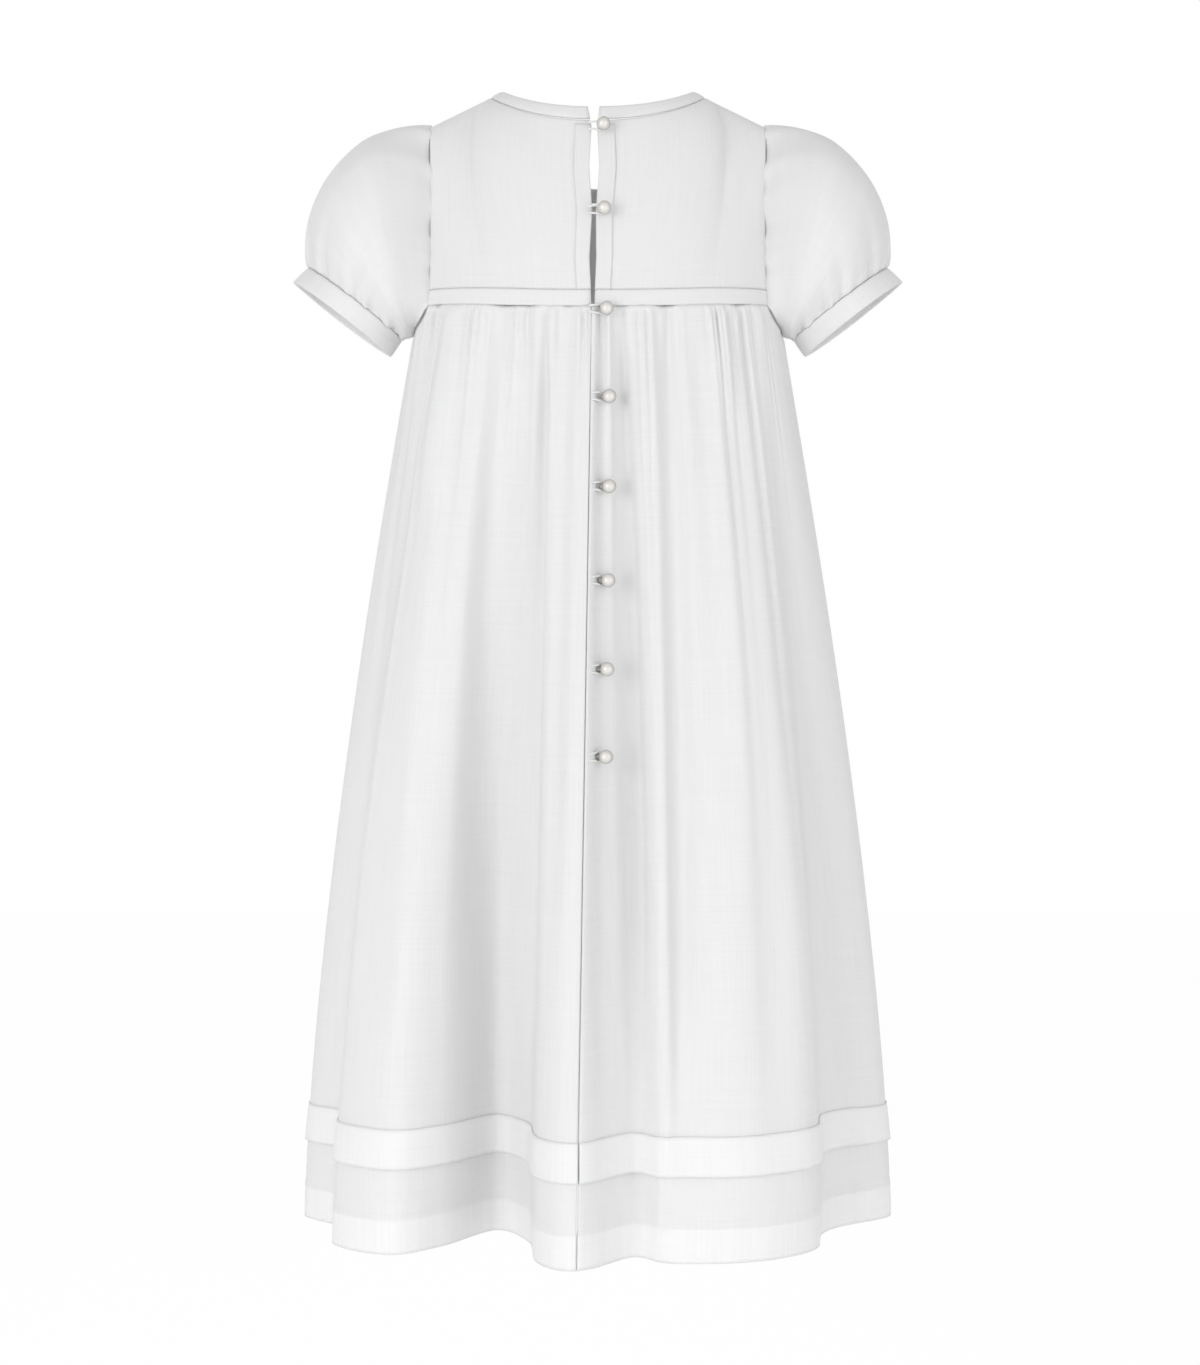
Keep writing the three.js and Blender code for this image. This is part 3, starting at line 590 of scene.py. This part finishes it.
def tube(name, path, radius, material, sides=10):
    rings = []
    tangents = np.gradient(path, axis=0)
    for p, t in zip(path, tangents):
        t = t / np.linalg.norm(t)
        side = np.cross(t, [0, 1, 0.01])
        side /= np.linalg.norm(side)
        other = np.cross(t, side)
        angle = TAU * np.arange(sides) / sides
        rings.append(p + radius * (np.cos(angle)[:, None] * side + np.sin(angle)[:, None] * other))
    points = np.concatenate(rings)
    faces = ring_faces(len(path), sides)
    faces += [tuple(range(sides))[::-1], tuple(range((len(path) - 1) * sides, len(path) * sides))]
    return mesh_object(name, points, faces, points[:, [0, 2]], [material])


def bead(name, seat, angle):
    bottom = math.asin(SHANK_RADIUS / BEAD_RADIUS)
    arc = np.linspace(bottom, math.pi, 22)
    radius = np.concatenate([[SHANK_RADIUS, SHANK_RADIUS], BEAD_RADIUS * np.sin(arc[:-1])])
    rise = SHANK_HEIGHT + BEAD_RADIUS * (math.cos(bottom) - np.cos(arc[:-1]))
    height = np.concatenate([[0.0, SHANK_HEIGHT * 0.5], rise])
    sides = 32
    round_ = TAU * np.arange(sides) / sides
    points = [(r * math.cos(a), h, r * math.sin(a)) for r, h in zip(radius, height) for a in round_]
    points += [(0, 0, 0), (0, SHANK_HEIGHT + BEAD_RADIUS * (math.cos(bottom) + 1), 0)]
    rows = len(radius)
    last = (rows - 1) * sides
    faces = ring_faces(rows, sides)
    faces += [((j + 1) % sides, j, rows * sides) for j in range(sides)]
    faces += [(last + j, last + (j + 1) % sides, rows * sides + 1) for j in range(sides)]
    points = turned(np.array(points), angle) + seat
    return mesh_object(name, points, [f[::-1] for f in faces], points[:, [0, 2]], [PEARL])


def turned(points, angle):
    c, s = math.cos(angle), math.sin(angle)
    return points @ np.array([[c, s, 0], [-s, c, 0], [0, 0, 1]])


def loop_path():
    around = np.linspace(math.pi / 2, 1.5 * math.pi, 16)
    reach = 2.5
    turn = np.stack([reach * np.cos(around), 0 * around + 0.9, reach * np.sin(around)], -1)
    share = np.linspace(0, 1, 14)[:, None]
    upper = np.array([BUTTON_INSET + 2.0, 1.2, 1.7]) * (1 - share) + np.array([0, 0.9, reach]) * share
    upper[:, 1] += 0.5 * np.sin(np.pi * share[:, 0])
    lower = (upper * np.array([1, 1, -1]))[::-1]
    return np.concatenate([upper[:-1], turn, lower[1:]])


def make_buttons():
    for number, z in enumerate(BUTTON_HEIGHTS, start=1):
        edge = opening_edge(z)
        seat, rim = back_face(edge - BUTTON_INSET, z), back_face(edge, z)
        angle = math.atan2(rim[1] - seat[1], rim[0] - seat[0])
        seat = seat + np.array([0, BUTTON_SEAT, 0])
        place(bead(f"pearl_{number}", seat, angle), [f"button_{number}"])
        cord = tube(f"thread_loop_{number}", turned(loop_path(), angle) + seat, 0.55, DOUBLED)
        place(cord, [f"loop_{number}"])


# ---- Light, floor and background
def area_light(name, place_at, size, power_w, aim=(0, 0, -0.33)):
    data = bpy.data.lights.new(name, "AREA")
    data.shape = "RECTANGLE"
    data.size, data.size_y = size
    data.energy = power_w
    lamp = bpy.data.objects.new(name, data)
    lamp.location = place_at
    direction = np.array(aim) - np.array(place_at)
    lamp.rotation_euler = Vector(direction).to_track_quat("-Z", "Y").to_euler()
    bpy.context.scene.collection.objects.link(lamp)


def make_studio():
    scene = bpy.context.scene
    scene.view_settings.view_transform = "Standard"
    world = bpy.data.worlds.new("studio")
    scene.world = world
    world.use_nodes = True
    nodes, links = world.node_tree.nodes, world.node_tree.links
    nodes.clear()
    out = nodes.new("ShaderNodeOutputWorld")
    fill, white, mix, path = (nodes.new(kind) for kind in (
        "ShaderNodeBackground", "ShaderNodeBackground", "ShaderNodeMixShader", "ShaderNodeLightPath"))
    fill.inputs["Color"].default_value = (1, 1, 1, 1)
    fill.inputs["Strength"].default_value = 0.68
    white.inputs["Strength"].default_value = 1.0
    white.inputs["Color"].default_value = (1, 1, 1, 1)
    links.new(path.outputs["Is Camera Ray"], mix.inputs[0])
    links.new(fill.outputs[0], mix.inputs[1])
    links.new(white.outputs[0], mix.inputs[2])
    links.new(mix.outputs[0], out.inputs["Surface"])
    area_light("key", (1.2, 1.7, -0.25), (1.0, 1.4), 16, (0, 0, -0.5))
    area_light("fill", (-1.5, 1.5, -0.35), (1.2, 1.6), 11, (0, 0, -0.5))
    area_light("front", (0.6, -1.9, 0.6), (1.4, 1.4), 12)


def make_floor():
    material = bpy.data.materials.new("floor")
    material.use_nodes = True
    nodes, links = material.node_tree.nodes, material.node_tree.links
    base = nodes["Principled BSDF"]
    base.inputs["Base Color"].default_value = (0.9, 0.9, 0.9, 1)
    base.inputs["Roughness"].default_value = 0.9
    glow, mix, path, scale = (nodes.new(kind) for kind in (
        "ShaderNodeEmission", "ShaderNodeMixShader", "ShaderNodeLightPath", "ShaderNodeMath"))
    glow.inputs["Color"].default_value = (1, 1, 1, 1)
    scale.operation = "MULTIPLY"
    scale.inputs[1].default_value = 0.97
    links.new(path.outputs["Is Camera Ray"], scale.inputs[0])
    links.new(scale.outputs[0], mix.inputs[0])
    links.new(base.outputs[0], mix.inputs[1])
    links.new(glow.outputs[0], mix.inputs[2])
    links.new(mix.outputs[0], nodes["Material Output"].inputs["Surface"])
    bpy.ops.mesh.primitive_plane_add(size=14, location=(0, 0, -1.15))
    floor = bpy.context.object
    floor.name = "floor"
    floor.data.materials.append(material)


make_camera()
make_yoke()
make_binding()
make_skirt()
make_sleeves()
make_buttons()
make_studio()
make_floor()
